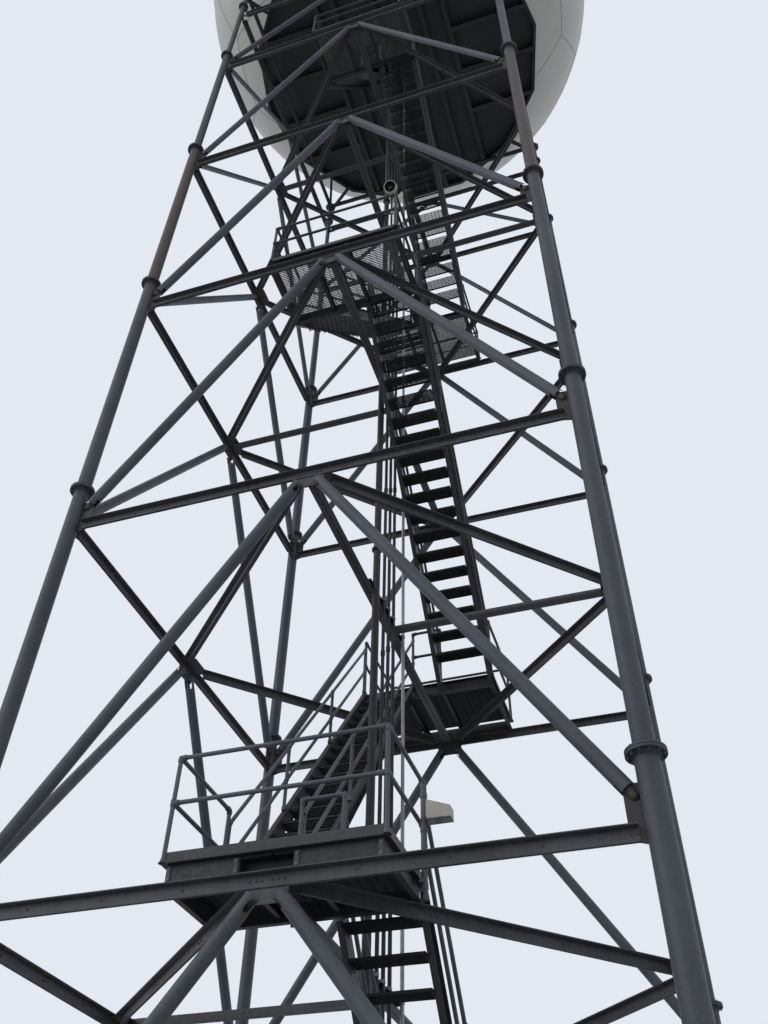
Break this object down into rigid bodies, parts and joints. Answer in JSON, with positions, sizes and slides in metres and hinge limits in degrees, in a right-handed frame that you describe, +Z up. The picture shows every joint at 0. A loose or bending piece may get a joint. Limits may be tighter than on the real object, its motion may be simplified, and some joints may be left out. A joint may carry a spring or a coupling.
{
  "type": "radar tower, 1:2 scale model",
  "caption": "Open lattice tower on round legs, with tube bracing, zigzag stairs, railed platforms and a panelled ball radome on a deck; 1:2 scale model.",
  "frame": {"origin": "middle of the four feet, on the ground, under the centre of the bounding box", "axes": "+Z up; +X to the right along the near side, the side with the first platform; +Y to the far side"},
  "size_m": [5.9354, 5.9354, 20.165],
  "materials": {
    "galvanised_tube": "dull, spangled",
    "base_steel": "dull, weathered",
    "weathered_angle": "matt, stained",
    "channel_steel": "matt, stained",
    "stair_steel": "matt",
    "rail_pipe": "dull",
    "deck_steel": "matt, stained",
    "radome_panel": "matt, light dust",
    "riser_steel": "matt",
    "conduit_steel": "bright",
    "lamp_cream": "satin"
  },
  "bodies": {
    "root": {"base_plate_far_left": "base_steel", "base_plate_far_right": "base_steel", "base_plate_near_left": "base_steel", "base_plate_near_right": "base_steel", "conduits": "conduit_steel", "deck_beams": "deck_steel", "deck_joists": "deck_steel", "deck_plate": "deck_steel", "deck_rim": "deck_steel", "deck_struts": "deck_steel", "far_side_braces": "galvanised_tube", "far_side_horizontals": "weathered_angle", "flight_1": "stair_steel", "flight_2": "stair_steel", "flight_3": "stair_steel", "flight_4": "stair_steel", "flight_5": "stair_steel", "floodlight": "lamp_cream", "left_side_braces": "galvanised_tube", "left_side_horizontals": "weathered_angle", "leg_far_left": "galvanised_tube", "leg_far_right": "galvanised_tube", "leg_near_left": "galvanised_tube", "leg_near_right": "galvanised_tube", "near_side_braces": "galvanised_tube", "near_side_horizontals": "weathered_angle", "pipe_brackets": "riser_steel", "plan_bracing_1": "weathered_angle", "plan_bracing_2": "weathered_angle", "plan_bracing_3": "weathered_angle", "plan_bracing_4": "weathered_angle", "plan_bracing_5": "weathered_angle", "platform_1": "channel_steel", "platform_2": "channel_steel", "platform_3": "channel_steel", "platform_4": "channel_steel", "platform_5": "channel_steel", "radome": "radome_panel", "railing_1": "rail_pipe", "railing_2": "rail_pipe", "railing_3": "rail_pipe", "railing_4": "rail_pipe", "railing_5": "rail_pipe", "right_side_braces": "galvanised_tube", "right_side_horizontals": "weathered_angle", "riser_lamps": "lamp_cream", "riser_pipe": "riser_steel", "top_ladder": "stair_steel"}
  },
  "joints": []
}
